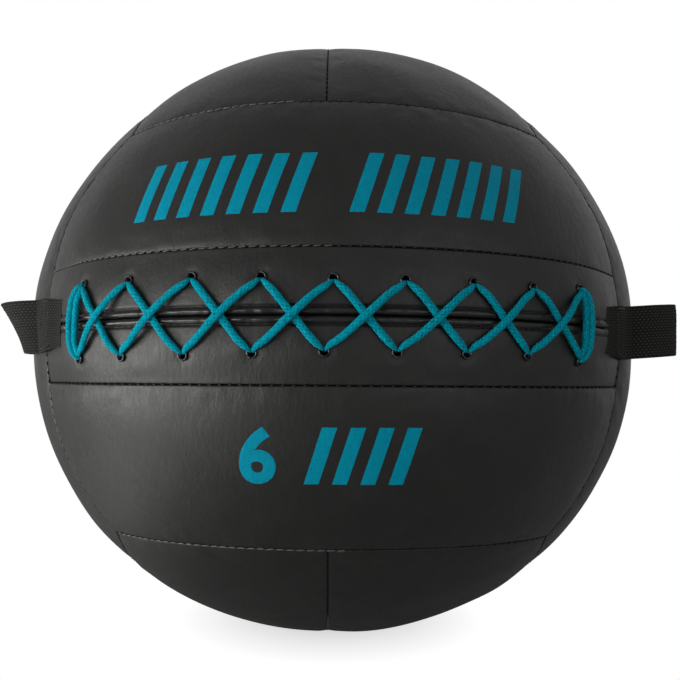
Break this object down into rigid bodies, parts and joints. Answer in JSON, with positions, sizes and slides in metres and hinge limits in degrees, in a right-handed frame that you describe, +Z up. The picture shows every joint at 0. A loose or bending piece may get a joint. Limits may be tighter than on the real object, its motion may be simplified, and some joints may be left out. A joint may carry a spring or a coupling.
{
  "type": "wall ball",
  "caption": "Soft weighted ball for wall throws: padded panels sewn over a packed filling, a laced slit across the front and a webbing loop at each side.",
  "frame": {"origin": "middle of the flat that the ball stands on, at the bottom centre of its box", "axes": "+Z up; the laced face looks along -Y; +X to the right as the laced face is seen; the webbing loops stick out at -X and +X"},
  "size_m": [0.3605, 0.3515, 0.3361],
  "materials": {
    "cover": "black synthetic leather with a fine grain, satin, padded, with matching seams and thread",
    "flap": "matt black coated cloth",
    "eyelet": "black gunmetal, smooth and shiny",
    "lace": "turquoise braided cord, slightly fuzzy",
    "webbing": "black woven tape, matt",
    "filling": "packed textile fibre",
    "core": "canvas bag filled with sand"
  },
  "bodies": {
    "ball": {"front_upper_panel": "cover", "front_lower_panel": "cover", "lacing_upper_band": "cover", "lacing_lower_band": "cover", "rear_upper_panel": "cover", "rear_lower_panel": "cover", "top_left_panel": "cover", "top_right_panel": "cover", "bottom_left_panel": "cover", "bottom_right_panel": "cover", "left_front_panel": "cover", "left_rear_panel": "cover", "right_front_panel": "cover", "right_rear_panel": "cover", "upper_eyelet_1": "eyelet", "upper_eyelet_2": "eyelet", "upper_eyelet_3": "eyelet", "upper_eyelet_4": "eyelet", "upper_eyelet_5": "eyelet", "upper_eyelet_6": "eyelet", "upper_eyelet_7": "eyelet", "upper_eyelet_8": "eyelet", "upper_eyelet_9": "eyelet", "lower_eyelet_1": "eyelet", "lower_eyelet_2": "eyelet", "lower_eyelet_3": "eyelet", "lower_eyelet_4": "eyelet", "lower_eyelet_5": "eyelet", "lower_eyelet_6": "eyelet", "lower_eyelet_7": "eyelet", "lower_eyelet_8": "eyelet", "lower_eyelet_9": "eyelet", "lace": "lace", "lacing_flap": "flap", "filling_front": "filling", "filling_rear": "filling", "core_bag": "core", "left_loop_base": "webbing", "right_loop_base": "webbing"},
    "left_loop": {"left_webbing_loop": "webbing"},
    "right_loop": {"right_webbing_loop": "webbing"}
  },
  "joints": [
    {"name": "left_loop_swing", "type": "hinge", "parent": "ball", "child": "left_loop", "pos_m": [-0.14848, -0.09372, 0.16705], "axis": [0, 0, -1], "range_deg": [-141, 13]},
    {"name": "right_loop_swing", "type": "hinge", "parent": "ball", "child": "right_loop", "pos_m": [0.14848, -0.09372, 0.16575], "axis": [0, 0, 1], "range_deg": [-127, 25]}
  ]
}
